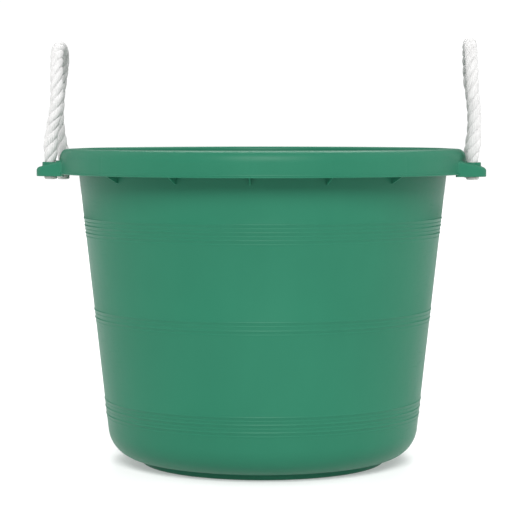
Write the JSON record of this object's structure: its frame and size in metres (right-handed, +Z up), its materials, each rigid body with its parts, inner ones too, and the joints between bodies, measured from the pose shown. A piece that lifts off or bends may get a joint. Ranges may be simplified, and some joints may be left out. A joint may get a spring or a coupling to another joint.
{
  "type": "feed bucket",
  "caption": "Large round stable bucket with a rolled rim, ribbed wall and stiff rope loop handles through lugs.",
  "frame": {"origin": "on the floor, at the centre of the tub's foot", "axes": "+Z up, +X towards the right rope handle, +Y towards the back"},
  "size_m": [0.4954, 0.4574, 0.4764],
  "materials": {
    "tub_plastic": "satin moulded polyethylene, green",
    "rope": "three-strand twisted white polypropylene rope",
    "rope_end": "rope end melted to a smooth, slightly clouded plug"
  },
  "bodies": {
    "tub_body": {"tub": "tub_plastic", "rope_leg_left_front": "rope", "rope_leg_left_rear": "rope", "rope_leg_right_front": "rope", "rope_leg_right_rear": "rope", "fused_end_left_front": "rope_end", "fused_end_left_rear": "rope_end", "fused_end_right_front": "rope_end", "fused_end_right_rear": "rope_end"},
    "left_handle": {"left_rope_handle": "rope"},
    "right_handle": {"right_rope_handle": "rope"}
  },
  "joints": [
    {"name": "left_handle_swing", "type": "hinge", "parent": "tub_body", "child": "left_handle", "pos_m": [-0.233, 0, 0.3465], "axis": [0, 1, 0], "range_deg": [-80, 32], "stiffness_Nm_per_rad": 0.15},
    {"name": "right_handle_swing", "type": "hinge", "parent": "tub_body", "child": "right_handle", "pos_m": [0.233, 0, 0.3465], "axis": [0, -1, 0], "range_deg": [-80, 42], "stiffness_Nm_per_rad": 0.15}
  ]
}
